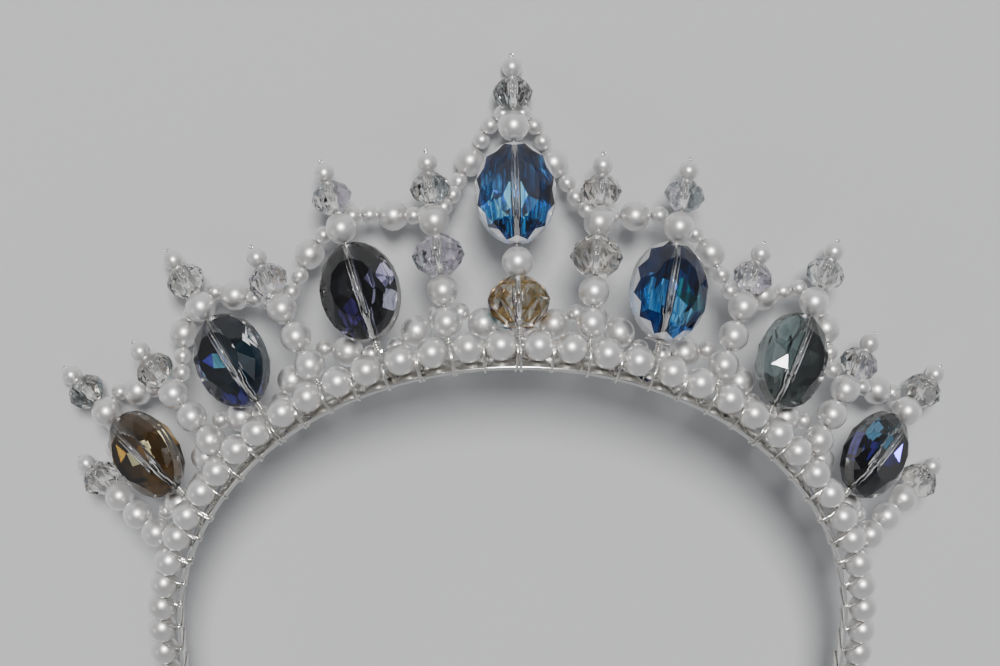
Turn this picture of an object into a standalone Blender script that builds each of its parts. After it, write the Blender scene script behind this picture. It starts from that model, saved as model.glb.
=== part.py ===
"""Beaded crystal headband: a metal band, a wired row of pearls and a crown of fifteen spikes.

The headband is laid out flat in its band's own plane: X to the right, Y up the crown and Z
towards the viewer, from the middle of the pearl row. One empty carries all the pieces. It tips
them onto the three spike ends that the headband lies on, and brings the middle of the floor
under it to the origin. Sizes are in millimetres here, and become metres where meshes are made.
"""

import math

import bmesh
import bpy
import numpy as np
from mathutils import Matrix, Vector

MM = 0.001

# Band, the arch it follows and the pearl row along it
BAND_WIDTH = 5.0
BAND_THICKNESS = 0.8
BAND_STATION = 6.0
BAND_END_STEPS = 4
PEARL = 6.0
SMALL_PEARL = 3.5
TIP_PEARL = 4.0
CLEARANCE = 0.3
PAIR_PITCH = 6.15
SPIKE_PITCH = 7.0
MIDDLE_PITCH = 7.2
SIDE_PITCH = 6.3
PEARLS_PER_SIDE = 23
SPIKES_PER_SIDE = 7
THREAD_RADIUS = 0.25

# name, length and radius of each arc of the arch, from the middle to the band's end
ARCH = (
    ("crown", 60.0, 70.0),
    ("side", 56.0, 78.0),
    ("leg", 58.0, 260.0),
)

# Cut crystals
OVAL_LENGTH = 20.0
OVAL_WIDTH = 15.6
OVAL_DEPTH = 9.0
OVAL_SIDES = 12
OVAL_GIRDLE = 3.0
OVAL_TABLE = 0.6
OVAL_HOLE_RADIUS = 0.75
DRILL_LENGTH = 24.0
RONDELLE_SIDES = 8
RONDELLE_HOLE_RADIUS = 0.62
RONDELLE_TABLE = 0.5
RONDELLE_MERGE = 0.01

# outer diameter and height of each rondelle size
RONDELLES = {
    "large": (12.4, 9.0),
    "medium": (10.2, 7.4),
    "small": (8.0, 5.8),
}

# Spikes
WIRE_RADIUS = 0.25
COIL_RADIUS = 0.75
COIL_START = 2.3
JOINT_GAP = 0.6
WIRE_END = 0.9
RESTING_SPIKE = 6

# what a spike carries between its base and the joint where the upper string passes
STACKS = {
    "centre": ("large", "pearl", "oval", "pearl"),
    "waisted": ("pearl", "pearl", "medium", "pearl"),
    "oval": ("oval", "pearl"),
    "plain": ("pearl", "pearl", "pearl"),
}

# number from the middle, stack, and then for the left and the right spike the start above
# the row, and the splay and lean in degrees; splay turns a spike outwards in the band's
# plane, lean behind it
SPIKES = (
    (0, "centre", (3.7, -2.4, 49.0), None),
    (1, "waisted", (2.4, 11.5, 53.0), (2.4, 8.0, 55.0)),
    (2, "oval", (5.0, 27.5, 50.5), (5.0, 17.5, 53.5)),
    (3, "plain", (2.4, 42.0, 48.5), (2.4, 33.0, 53.0)),
    (4, "oval", (4.8, 51.5, 50.0), (4.0, 39.0, 52.5)),
    (5, "plain", (2.4, 61.0, 46.0), (2.4, 52.5, 53.0)),
    (6, "oval", (5.0, 70.5, 45.0), (5.0, 71.0, 52.0)),
    (7, "plain", (2.6, 81.0, 48.5), (2.6, 83.0, 51.0)),
)

# Strings: the beads that hang from each spike to the next one out
SHORT_SPAN = ("small", "pearl", "small")
PLAIN_SPAN = ("small", "pearl", "small", "small")
TURNED_SPAN = ("small", "small", "pearl", "small")
LONG_SPAN = ("small", "small", "pearl", "small", "small")
FIRST_SPAN = ("small", "small", "small", "pearl", "small", "small", "small")

# beads of each span from the middle out, how much of its bare thread comes before them, and
# how many degrees its bow turns from straight behind the spikes to away from the row
UPPER_SPANS = {
    "left": (
        (FIRST_SPAN, 0.5, 20.0),
        (LONG_SPAN, 1.0, 15.0),
        (LONG_SPAN, 0.5, 45.0),
        (TURNED_SPAN, 0.75, 0.0),
        (LONG_SPAN, 1.0, 60.0),
        (TURNED_SPAN, 0.5, 0.0),
        (TURNED_SPAN, 0.0, 0.0),
    ),
    "right": (
        (FIRST_SPAN, 0.5, 15.0),
        (SHORT_SPAN, 0.5, 0.0),
        (LONG_SPAN, 1.0, 60.0),
        (PLAIN_SPAN, 1.0, 0.0),
        (LONG_SPAN, 1.0, 60.0),
        (TURNED_SPAN, 0.75, 0.0),
        (TURNED_SPAN, 0.25, 0.0),
    ),
}
UPPER_BACK = 3.9
UPPER_AT_CENTRE = 0.7
UPPER_AT_SPIKES = -0.3
LOWER_SPANS = ((SHORT_SPAN, 0.5, 0.0),) * 3 + ((SHORT_SPAN, 0.9, 0.0),) * 4
LOWER_BACK = 4.3
LOWER_AT_PEARLS = 9.0
LOWER_AT_OVALS = 3.4
LOWER_AT_CENTRE = 2.4
LOWER_RADIUS = 1.3
LOWER_STEPS = 3
BEAD_SPACING = 0.15
BOW_STEP = 0.1
ROUTE_STEPS = 30

ROW_RINGS = (-50.0, 0.0, 50.0)
SMALL_RINGS = (-32.0, 32.0)
STRING_RESOLUTION = 3
TUBE_RESOLUTION = 2


def clear_scene():
    """Start from an empty scene."""
    for thing in list(bpy.data.objects):
        bpy.data.objects.remove(thing, do_unlink=True)


def make_collection(name):
    """A named collection in the scene."""
    group = bpy.data.collections.new(name)
    bpy.context.scene.collection.children.link(group)
    return group


def make_material(name, colour, roughness, metallic=0.0, transmission=0.0):
    """A plain Principled finish."""
    material = bpy.data.materials.new(name)
    material.use_nodes = True
    shader = material.node_tree.nodes["Principled BSDF"]
    shader.inputs["Base Color"].default_value = (*colour, 1.0)
    shader.inputs["Roughness"].default_value = roughness
    shader.inputs["Metallic"].default_value = metallic
    shader.inputs["Transmission Weight"].default_value = transmission
    return material


def arch_at(distance):
    """Place, run and outward direction of the row at a distance from the middle.

    Distances are positive to the right and negative to the left.
    """
    side = -1.0 if distance < 0.0 else 1.0
    left = abs(distance)
    heading = 0.0
    across = 0.0
    height = 0.0
    for index, (_name, length, radius) in enumerate(ARCH):
        last = index == len(ARCH) - 1
        step = left if last else min(left, length)
        turned = heading + step / radius
        across += radius * (math.sin(turned) - math.sin(heading))
        height -= radius * (math.cos(heading) - math.cos(turned))
        heading = turned
        left -= step
        if left <= 0.0:
            break
    place = Vector((side * across, height, 0.0))
    along = Vector((math.cos(heading), -side * math.sin(heading), 0.0))
    outward = Vector((side * math.sin(heading), math.cos(heading), 0.0))
    return place, along, outward


def row_distances():
    """Distance from the middle of each pearl in half a row."""
    distances = [MIDDLE_PITCH / 2.0]
    for number in range(1, PEARLS_PER_SIDE):
        if number > 2 * SPIKES_PER_SIDE:
            pitch = SIDE_PITCH
        elif number % 2:
            pitch = PAIR_PITCH
        else:
            pitch = SPIKE_PITCH
        distances.append(distances[-1] + pitch)
    return distances


def seat_distance(number):
    """Distance from the middle of the gap that a spike's wire comes out of."""
    if number == 0:
        return 0.0
    distances = row_distances()
    return (distances[2 * number - 1] + distances[2 * number]) / 2.0


class Spike:
    """A spike's seat, directions and the heights of what it carries."""

    def __init__(self, label, number, side, stack, start, splay, lean, tip):
        self.label = label
        self.stack = stack
        self.seat, run, _outward = arch_at(side * seat_distance(number))
        turn = math.radians(splay) * side
        drop = math.radians(lean)
        self.axis = Vector((
            math.sin(turn) * math.cos(drop),
            math.cos(turn) * math.cos(drop),
            -math.sin(drop),
        ))
        self.across = (run - self.axis * run.dot(self.axis)).normalized()
        self.back = self.axis.cross(self.across)
        self.beads = []
        height = start
        for kind in STACKS[stack]:
            height = self.stack_bead(kind, height)
            height += CLEARANCE
        self.joint = height - CLEARANCE + JOINT_GAP / 2.0
        height = self.stack_bead("small", height - CLEARANCE + JOINT_GAP) + CLEARANCE
        self.tip = height + tip / 2.0
        self.beads.append(("tip", self.tip, tip))
        self.end = height + tip + WIRE_END

    def stack_bead(self, kind, height):
        """Add a bead whose underside is at a height, and give the height of its top."""
        if kind == "pearl":
            size = PEARL
        elif kind == "oval":
            size = OVAL_LENGTH
        else:
            size = RONDELLES[kind][1]
        self.beads.append((kind, height + size / 2.0, size))
        return height + size

    def point(self, height, back=0.0, across=0.0):
        """A place at a height along the spike, behind it and to its right."""
        return self.seat + self.axis * height + self.back * back + self.across * across

    def frame(self, height):
        """A matrix in metres whose X runs across the spike, Y behind it and Z along it."""
        turn = Matrix((self.across, self.back, self.axis)).transposed().to_4x4()
        return Matrix.Translation(self.point(height) * MM) @ turn


def make_spikes():
    """All spikes by label, from the table."""
    spikes = {}
    for number, stack, left, right in SPIKES:
        if right is None:
            spikes["centre"] = Spike("centre", number, 1, stack, *left, TIP_PEARL)
            continue
        for name, side, place in (("left", -1, left), ("right", 1, right)):
            label = f"{name}_{number}"
            spikes[label] = Spike(label, number, side, stack, *place, TIP_PEARL)
    return spikes


def bead_points(centre, direction, size):
    """Ring places and radii that turn a stretch of a beaded wire into a round bead."""
    rings = SMALL_RINGS if size < PEARL else ROW_RINGS
    radius = size / 2.0
    points = []
    for angle in rings:
        turn = math.radians(angle)
        points.append((centre + direction * radius * math.sin(turn), radius * math.cos(turn)))
    return points


def add_beaded_wire(name, points, material, group, resolution=STRING_RESOLUTION):
    """One solid string: a wire that swells into each of its beads."""
    curve = bpy.data.curves.new(name, "CURVE")
    curve.dimensions = "3D"
    curve.bevel_depth = MM
    curve.bevel_resolution = resolution
    curve.use_fill_caps = True
    spline = curve.splines.new("POLY")
    spline.points.add(len(points) - 1)
    for target, (place, radius) in zip(spline.points, points):
        target.co = (*(place * MM), 1.0)
        target.radius = radius
    curve.materials.append(material)
    string = bpy.data.objects.new(name, curve)
    group.objects.link(string)
    return string


def string_points(places):
    """Points of a string from its beads' centres and sizes, with one wire ring between two."""
    points = []
    for index, (centre, size) in enumerate(places):
        before = places[max(index - 1, 0)][0]
        after = places[min(index + 1, len(places) - 1)][0]
        direction = (after - before).normalized()
        start = centre - direction * (size / 2.0)
        if index == 0:
            points.append((start, THREAD_RADIUS))
        points.extend(bead_points(centre, direction, size))
        end = centre + direction * (size / 2.0)
        if index < len(places) - 1:
            gap = after - centre
            follower = after - gap.normalized() * (places[index + 1][1] / 2.0)
            points.append(((end + follower) / 2.0, THREAD_RADIUS))
        else:
            points.append((end, THREAD_RADIUS))
    return points


def build_row(side_name, side, material, group):
    """Half of the pearl row."""
    places = []
    for distance in row_distances():
        centre, _along, _outward = arch_at(side * distance)
        places.append((centre, PEARL))
    points = string_points(places)
    middle, _along, _outward = arch_at(side * CLEARANCE / 2.0)
    points.insert(0, (middle, THREAD_RADIUS))
    add_beaded_wire(f"pearl_row_{side_name}", points, material, group)


def build_band(material, group):
    """The metal strip inside the row: a ribbon of flat facets with rounded ends, thickened."""
    half_length = sum(length for _name, length, _radius in ARCH)
    half_width = BAND_WIDTH / 2.0
    stations = []
    distance = BAND_STATION / 2.0
    while distance < half_length - half_width:
        stations.append((distance, half_width))
        distance += BAND_STATION
    for step in range(BAND_END_STEPS):
        turn = math.radians(90.0 * step / BAND_END_STEPS)
        place = half_length - half_width + half_width * math.sin(turn)
        stations.append((place, half_width * math.cos(turn)))
    both = [(-distance, width) for distance, width in reversed(stations)] + stations
    depth = PEARL / 2.0 + CLEARANCE + BAND_THICKNESS / 2.0
    ribbon = bmesh.new()
    front = []
    for distance, width in both:
        centre, _along, outward = arch_at(distance)
        place = centre - outward * depth + Vector((0.0, 0.0, width))
        front.append(ribbon.verts.new(place * MM))
    edges = [ribbon.edges.new(pair) for pair in zip(front, front[1:])]
    made = bmesh.ops.extrude_edge_only(ribbon, edges=edges)
    behind = [item for item in made["geom"] if isinstance(item, bmesh.types.BMVert)]
    for vert in behind:
        vert.co.z = -vert.co.z
    bmesh.ops.recalc_face_normals(ribbon, faces=ribbon.faces)
    mesh = bpy.data.meshes.new("band")
    ribbon.to_mesh(mesh)
    ribbon.free()
    mesh.materials.append(material)
    band = bpy.data.objects.new("band", mesh)
    group.objects.link(band)
    wall = band.modifiers.new("strip thickness", "SOLIDIFY")
    wall.thickness = BAND_THICKNESS * MM
    wall.offset = 0.0
    wall.use_even_offset = True


def stem_points(spike):
    """Points of a spike's wire, with the coil at its base and the pearls fused to it."""
    first = spike.beads[0][1] - spike.beads[0][2] / 2.0
    coil_end = first - CLEARANCE
    points = []
    if coil_end > COIL_START + CLEARANCE:
        low = COIL_START + COIL_RADIUS / 2.0
        high = coil_end - COIL_RADIUS / 2.0
        points.append((spike.point(COIL_START), WIRE_RADIUS))
        if high - low > COIL_RADIUS:
            points.append((spike.point(low), COIL_RADIUS))
            points.append((spike.point(high), COIL_RADIUS))
        else:
            points.append((spike.point((low + high) / 2.0), COIL_RADIUS))
        points.append((spike.point(coil_end), WIRE_RADIUS))
    else:
        points.append((spike.point(first - COIL_RADIUS), WIRE_RADIUS))
    kinds = [kind for kind, _height, _size in spike.beads]
    for index, (kind, height, size) in enumerate(spike.beads):
        if kind not in ("pearl", "tip"):
            continue
        if index and kinds[index - 1] != "pearl":
            points.append((spike.point(height - size / 2.0), WIRE_RADIUS))
        points.extend(bead_points(spike.point(height), spike.axis, size))
        gap = CLEARANCE / 2.0 if kinds[index + 1:index + 2] == ["pearl"] else 0.0
        points.append((spike.point(height + size / 2.0 + gap), WIRE_RADIUS))
    points.append((spike.point(spike.end), WIRE_RADIUS))
    return points


def build_stems(spikes, material, group):
    """One stem of wire and pearls for each spike."""
    for spike in spikes.values():
        add_beaded_wire(f"stem_{spike.label}", stem_points(spike), material, group)


def rondelle_mesh(name, diameter, height, material):
    """Half a section of a drilled, tabled rondelle, ready to be turned in eight steps."""
    outer = diameter / 2.0
    table = outer * RONDELLE_TABLE
    top = height / 2.0
    profile = (
        (RONDELLE_HOLE_RADIUS, top),
        (table, top),
        (outer, 0.0),
        (table, -top),
        (RONDELLE_HOLE_RADIUS, -top),
    )
    section = bmesh.new()
    verts = [section.verts.new((x * MM, 0.0, z * MM)) for x, z in profile]
    for index, vert in enumerate(verts):
        section.edges.new((vert, verts[(index + 1) % len(verts)]))
    mesh = bpy.data.meshes.new(name)
    section.to_mesh(mesh)
    section.free()
    mesh.materials.append(material)
    return mesh


def build_rondelles(spikes, material, group):
    """The turned crystals: one under each tip, and the large and medium ones lower down."""
    meshes = {}
    for kind, (diameter, height) in RONDELLES.items():
        meshes[kind] = rondelle_mesh(f"{kind}_rondelle", diameter, height, material)
    for spike in spikes.values():
        for kind, height, _size in spike.beads:
            if kind not in meshes:
                continue
            role = "tip_crystal" if kind == "small" else "waist_crystal"
            crystal = bpy.data.objects.new(f"{role}_{spike.label}", meshes[kind])
            crystal.matrix_local = spike.frame(height)
            group.objects.link(crystal)
            turned = crystal.modifiers.new("eight facets", "SCREW")
            turned.steps = RONDELLE_SIDES
            turned.render_steps = RONDELLE_SIDES
            turned.use_merge_vertices = True
            turned.merge_threshold = RONDELLE_MERGE * MM
            turned.use_smooth_shade = False


def oval_mesh(material):
    """A drilled oval crystal: a twelve-sided girdle with a sloping rim round each table."""
    stone = bmesh.new()
    bmesh.ops.create_cone(
        stone,
        cap_ends=True,
        segments=OVAL_SIDES,
        radius1=1.0,
        radius2=1.0,
        depth=1.0,
        matrix=Matrix.Rotation(math.radians(90.0), 4, "X"),
    )
    size = Vector((OVAL_WIDTH / 2.0, OVAL_GIRDLE, OVAL_LENGTH / 2.0)) * MM
    bmesh.ops.scale(stone, vec=size, verts=stone.verts)
    caps = [face for face in stone.faces if len(face.verts) == OVAL_SIDES]
    raised = bmesh.ops.extrude_discrete_faces(stone, faces=caps)
    for face in raised["faces"]:
        level = math.copysign(OVAL_DEPTH / 2.0 * MM, face.calc_center_median().y)
        for vert in face.verts:
            vert.co.x *= OVAL_TABLE
            vert.co.z *= OVAL_TABLE
            vert.co.y = level
    mesh = bpy.data.meshes.new("oval_blank")
    stone.to_mesh(mesh)
    stone.free()
    mesh.materials.append(material)
    return mesh


def drilled_oval_mesh(material, cutters):
    """The oval with its hole along the length, cut once for all the ovals."""
    blank = bpy.data.objects.new("oval_blank", oval_mesh(material))
    cutters.objects.link(blank)
    bit = bmesh.new()
    bmesh.ops.create_cone(
        bit,
        cap_ends=True,
        segments=RONDELLE_SIDES,
        radius1=OVAL_HOLE_RADIUS * MM,
        radius2=OVAL_HOLE_RADIUS * MM,
        depth=DRILL_LENGTH * MM,
    )
    drill_mesh = bpy.data.meshes.new("oval_drill")
    bit.to_mesh(drill_mesh)
    bit.free()
    drill = bpy.data.objects.new("oval_drill", drill_mesh)
    cutters.objects.link(drill)
    hole = blank.modifiers.new("drilled hole", "BOOLEAN")
    hole.operation = "DIFFERENCE"
    hole.object = drill
    bpy.context.view_layer.update()
    evaluated = blank.evaluated_get(bpy.context.evaluated_depsgraph_get())
    mesh = bpy.data.meshes.new_from_object(evaluated)
    mesh.name = "drilled_oval"
    bpy.data.objects.remove(blank, do_unlink=True)
    bpy.data.objects.remove(drill, do_unlink=True)
    return mesh


def build_ovals(spikes, material, group, cutters):
    """The big oval crystals."""
    mesh = drilled_oval_mesh(material, cutters)
    for spike in spikes.values():
        for kind, height, _size in spike.beads:
            if kind == "oval":
                crystal = bpy.data.objects.new(f"oval_crystal_{spike.label}", mesh)
                crystal.matrix_local = spike.frame(height)
                group.objects.link(crystal)


def smooth_stretch(start, start_run, end, end_run):
    """Evenly read places of a smooth stretch with a given direction at each end."""
    reach = (end - start).length / 3.0
    first = start + start_run * reach
    last = end - end_run * reach
    places = []
    for step in range(ROUTE_STEPS + 1):
        t = step / ROUTE_STEPS
        back = 1.0 - t
        places.append(
            start * back ** 3
            + first * 3.0 * back ** 2 * t
            + last * 3.0 * back * t ** 2
            + end * t ** 3
        )
    return places


def place_along(places, share):
    """The place at a share of a stretch's own length."""
    steps = [(after - before).length for before, after in zip(places, places[1:])]
    wanted = share * sum(steps)
    for before, after, step in zip(places, places[1:], steps):
        if wanted <= step:
            return before.lerp(after, wanted / step)
        wanted -= step
    return places[-1]


def side_spikes(spikes, side_name):
    """The centre spike and those of one side, from the middle out."""
    labels = [f"{side_name}_{number}" for number in range(1, SPIKES_PER_SIDE + 1)]
    return [spikes["centre"]] + [spikes[label] for label in labels]


def path_length(places):
    """Length of a stretch."""
    return sum((after - before).length for before, after in zip(places, places[1:]))


def hang_string(row, spans, anchors, side):
    """Beads strung tight from spike to spike, bowed out between two as far as they need.

    Gives each span's beads as centres and sizes, and the stretch that they follow.
    """
    sizes = {"small": SMALL_PEARL, "pearl": PEARL}
    runs = []
    for index, spike in enumerate(row):
        run = spike.across * side
        if 0 < index < len(row) - 1:
            run = run + (anchors[index + 1] - anchors[index - 1]).normalized()
        runs.append(run.normalized())
    hung = []
    for index, (beads, before, lift) in enumerate(spans):
        needed = sum(sizes[kind] + BEAD_SPACING for kind in beads) + BEAD_SPACING
        start = anchors[index]
        end = anchors[index + 1]
        chord = (end - start).normalized()
        back = (row[index].back + row[index + 1].back).normalized()
        outward = chord.cross(back) * side
        turn = math.radians(lift)
        bow_run = back * math.cos(turn) + outward * math.sin(turn)
        bow = 0.0
        length = 0.0
        while length < needed:
            middle = (start + end) / 2.0 + bow_run * bow
            stretch = smooth_stretch(start, runs[index], middle, chord)
            stretch += smooth_stretch(middle, chord, end, runs[index + 1])[1:]
            length = path_length(stretch)
            bow += BOW_STEP
        reached = (length - needed) * before + BEAD_SPACING
        places = []
        for kind in beads:
            size = sizes[kind]
            places.append((place_along(stretch, (reached + size / 2.0) / length), size))
            reached += size + BEAD_SPACING
        hung.append((places, stretch))
    return hung


def upper_anchor(spike, across=0.0):
    """Where the upper string passes behind a spike, under its tip crystal."""
    rise = UPPER_AT_CENTRE if spike.stack == "centre" else UPPER_AT_SPIKES
    return spike.point(spike.joint + rise, UPPER_BACK, across)


def upper_spans(spikes, side_name, side):
    """The spans of the upper string."""
    row = side_spikes(spikes, side_name)
    anchors = [upper_anchor(spike) for spike in row]
    return hang_string(row, UPPER_SPANS[side_name], anchors, side)


def lower_spans(spikes, side_name, side):
    """The spans of the lower string, which runs above the row from base to base.

    It passes over the lowest pearl of a pearl spike, and under the crystal of the others.
    """
    row = side_spikes(spikes, side_name)
    heights = {"centre": LOWER_AT_CENTRE, "oval": LOWER_AT_OVALS}
    anchors = []
    for spike in row:
        anchors.append(spike.point(heights.get(spike.stack, LOWER_AT_PEARLS), LOWER_BACK))
    return hang_string(row, LOWER_SPANS, anchors, side)


def build_upper_string(spikes, side_name, side, material, group):
    """Half of the upper string, bead by bead."""
    row = side_spikes(spikes, side_name)
    points = [(upper_anchor(row[0], side * CLEARANCE / 2.0), THREAD_RADIUS)]
    for places, _stretch in upper_spans(spikes, side_name, side):
        points.extend(string_points(places))
    points.append((upper_anchor(row[-1]), THREAD_RADIUS))
    add_beaded_wire(f"upper_string_{side_name}", points, material, group)


def build_lower_string(spikes, side_name, side, material, group):
    """Half of the lower string, as a plain tube."""
    across = spikes["centre"].across * side
    places = []
    for _beads, stretch in lower_spans(spikes, side_name, side):
        places += [place_along(stretch, step / LOWER_STEPS) for step in range(LOWER_STEPS)]
    places.append(stretch[-1])
    middle = places[0]
    places[0] = middle + across * LOWER_RADIUS
    places.insert(0, middle + across * CLEARANCE / 2.0)
    points = [(place, LOWER_RADIUS) for place in places]
    name = f"lower_string_{side_name}"
    add_beaded_wire(name, points, material, group, TUBE_RESOLUTION)


def resting_turn(spikes):
    """The turn that sets the centre tip and one tip of each side on the floor."""
    centre = spikes["centre"]
    left = spikes[f"left_{RESTING_SPIKE}"]
    right = spikes[f"right_{RESTING_SPIKE}"]
    tip = centre.point(centre.tip)
    normal = (left.point(left.tip) - tip).cross(right.point(right.tip) - tip).normalized()
    return normal.rotation_difference(Vector((0.0, 0.0, 1.0))).to_matrix().to_4x4()


def carry(group, turn):
    """Hang the pieces on one empty and set the whole on the floor, over the origin."""
    carrier = bpy.data.objects.new("resting_tiara", None)
    group.objects.link(carrier)
    carrier.matrix_world = turn
    for piece in group.objects:
        if piece is not carrier:
            piece.parent = carrier
    bpy.context.view_layer.update()
    graph = bpy.context.evaluated_depsgraph_get()
    corners = []
    for piece in group.objects:
        if piece is carrier:
            continue
        evaluated = piece.evaluated_get(graph)
        mesh = evaluated.to_mesh()
        for vert in mesh.vertices:
            corners.append(evaluated.matrix_world @ vert.co)
        evaluated.to_mesh_clear()
    low = np.min(corners, axis=0)
    high = np.max(corners, axis=0)
    shift = Vector((-(low[0] + high[0]) / 2.0, -(low[1] + high[1]) / 2.0, -low[2]))
    carrier.matrix_world = Matrix.Translation(shift) @ turn


def main():
    clear_scene()
    group = make_collection("crystal_headband")
    cutters = make_collection("cutters")
    silver = make_material("polished_silver", (0.78, 0.77, 0.74), 0.18, metallic=1.0)
    pearl = make_material("glass_pearl", (0.86, 0.84, 0.80), 0.22)
    crystal = make_material("coated_crystal", (0.80, 0.88, 0.95), 0.03, transmission=1.0)
    spikes = make_spikes()
    build_band(silver, group)
    for side_name, side in (("left", -1), ("right", 1)):
        build_row(side_name, side, pearl, group)
        build_upper_string(spikes, side_name, side, pearl, group)
        build_lower_string(spikes, side_name, side, pearl, group)
    build_stems(spikes, pearl, group)
    build_rondelles(spikes, crystal, group)
    build_ovals(spikes, crystal, group, cutters)
    carry(group, resting_turn(spikes))


if __name__ == "__main__":
    main()
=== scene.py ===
"""Looks of the beaded crystal headband: smooth band, drilled pearls, cut crystals and bound wire.

The pieces are laid out in the headband's own flat frame, in millimetres: X to the right, Y up the
crown and Z towards the viewer, from the middle of the pearl row. Each one is then set where the
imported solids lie, on the spike ends that the headband rests on.
"""

import math
import random

import bpy
from bpy.props import FloatProperty, FloatVectorProperty, IntProperty, PointerProperty
from bpy.types import Operator, Panel, PropertyGroup
from mathutils import Matrix, Vector


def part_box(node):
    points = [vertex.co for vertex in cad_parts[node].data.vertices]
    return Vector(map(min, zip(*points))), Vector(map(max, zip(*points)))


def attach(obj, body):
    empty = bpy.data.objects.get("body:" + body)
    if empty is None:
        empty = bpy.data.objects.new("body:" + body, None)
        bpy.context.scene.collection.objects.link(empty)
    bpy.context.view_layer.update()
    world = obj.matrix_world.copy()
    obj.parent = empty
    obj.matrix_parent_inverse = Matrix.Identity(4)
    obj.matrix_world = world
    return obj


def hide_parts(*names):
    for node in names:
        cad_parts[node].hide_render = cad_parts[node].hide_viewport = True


bl_info = {
    "name": "Crystal headband",
    "version": (1, 0, 0),
    "blender": (4, 5, 0),
    "location": "3D View > Sidebar > Headband",
    "description": "Dresses the packed headband with pearls, cut crystals and bound wire",
    "category": "Object",
}

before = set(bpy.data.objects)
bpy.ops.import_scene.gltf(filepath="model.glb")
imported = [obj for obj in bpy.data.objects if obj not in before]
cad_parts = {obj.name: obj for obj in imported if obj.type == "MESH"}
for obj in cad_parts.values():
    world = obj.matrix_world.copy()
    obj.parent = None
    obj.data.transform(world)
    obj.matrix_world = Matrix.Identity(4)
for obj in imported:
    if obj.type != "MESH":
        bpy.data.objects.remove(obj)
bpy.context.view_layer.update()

MM = 0.001
ROOT = "root"
SIDES = (("left", -1), ("right", 1))

# Corners this close count as one, bends up to these angles are shaded smooth, and facets of a
# stone that bend less than the last one are a single facet
TOUCHING = 0.00001
BAND_BEND = math.radians(50.0)
PEARL_BEND = math.radians(40.0)
FACET_BEND = math.radians(2.0)

# Length and radius of each arc of the arch, from the middle to the band's end, and the length of
# a step along it
ARCH = ((60.0, 70.0), (56.0, 78.0), (58.0, 260.0))
ARCH_STEP = 3.0

# Rounding of the corners at the band's end, as a share of its width
END_ROUNDING = 0.45

# Diameters of the pearls, and the gap between most neighbours
ROW_PEARL = 6.0
SMALL_PEARL = 3.5
TIP_PEARL = 4.0
CLEARANCE = 0.3

# Share of a pearl's radius from which a corner is one of its ends, the rim of a drilled hole as a
# share of its radius, and the place of the hole's floor as a share of the way to the end
PEARL_END = 0.999
HOLE_RIM = 0.2
HOLE_FLOOR = 0.8

# Steps from pearl to pearl of the row: over its middle, within a pair, over a spike and at the side
MIDDLE_PITCH = 7.2
PAIR_PITCH = 6.15
SPIKE_PITCH = 7.0
SIDE_PITCH = 6.3
PEARLS_PER_SIDE = 23

# Length, width and depth of an oval, then outer diameter and height of each rondelle
OVAL = (20.0, 15.6, 9.0)
RONDELLES = {
    "large": (12.4, 9.0),
    "medium": (10.2, 7.4),
    "small": (8.0, 5.8),
}

# What a spike carries between its base and the joint where the upper string passes
STACKS = {
    "centre": ("large", "pearl", "oval", "pearl"),
    "waisted": ("pearl", "pearl", "medium", "pearl"),
    "oval": ("oval", "pearl"),
    "plain": ("pearl", "pearl", "pearl"),
}

# Number from the middle, stack, and then for the left and the right spike the start above
# the row, and the splay and lean in degrees; splay turns a spike outwards in the band's
# plane, lean behind it
SPIKES = (
    (0, "centre", (3.7, -2.4, 49.0), None),
    (1, "waisted", (2.4, 11.5, 53.0), (2.4, 8.0, 55.0)),
    (2, "oval", (5.0, 27.5, 50.5), (5.0, 17.5, 53.5)),
    (3, "plain", (2.4, 42.0, 48.5), (2.4, 33.0, 53.0)),
    (4, "oval", (4.8, 51.5, 50.0), (4.0, 39.0, 52.5)),
    (5, "plain", (2.4, 61.0, 46.0), (2.4, 52.5, 53.0)),
    (6, "oval", (5.0, 70.5, 45.0), (5.0, 71.0, 52.0)),
    (7, "plain", (2.6, 81.0, 48.5), (2.6, 83.0, 51.0)),
)
SPIKES_PER_SIDE = 7
RESTING_SPIKE = 6
JOINT_GAP = 0.6
WIRE_END = 0.9

# Coil at a spike's base: its wire as a share of the spike's, its radius, its gap from the first
# bead, the room and the rise of a turn, the corners of a turn, and the height of a spike's first
# bead under which its coil has few turns
COIL_WIRE = 0.85
COIL_RADIUS = 0.52
COIL_GAP = 0.35
COIL_ROOM = 0.52
COIL_RISE = 0.5
COIL_CORNERS = 10
LOW_BEAD = 3.0
FEW_TURNS = 2
MANY_TURNS = 4

# Turned end of a spike's wire: its corners, the radius of the wire, half its height, half its
# depth and half its width
TURNED_CORNERS = 14
TURNED_WIRE = 0.18
TURNED_END = (0.27, 0.04, 0.32)

# Places across a spike of the bends of a wire end that crosses its base, how far under the first
# bead and in front of the spike it runs, and how far every other bend is lifted
CROSS_WIRES = {"right_2": (-3.3, -2.4, -1.2, 0.0, 1.1, 1.9)}
CROSS_DROP = 0.5
CROSS_FRONT = 0.75
CROSS_LIFT = 0.2

# Bends of a turn of the binding wire: height of the one over the row's own wire, height and
# distance to the front of two between the pearls, and distance of the three round the band's
# edge, as shares of its half width
BINDING_TOP = 0.55
BINDING_BENDS = ((0.2, 1.2), (-1.4, 2.3))
BINDING_EDGE = (0.98, 1.03, 0.96)

# How many times the binding wire may go round between two pearls, the step from turn to turn in
# radii of the wire and how much of it is left between the pearls, and how far a turn may wander
BINDING_TURNS = (1, 2, 2, 3)
MIDDLE_TURNS = 4
BINDING_STEP = 2.1
PINCHED_SHARE = 0.35
BINDING_SLANT = 0.5
BINDING_WANDER = 0.05

# How far beyond the row's last pearl its last turns lie, and its wire ends from that pearl's middle
LAST_TURNS = 0.4
CORE_END = 4.0

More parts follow.
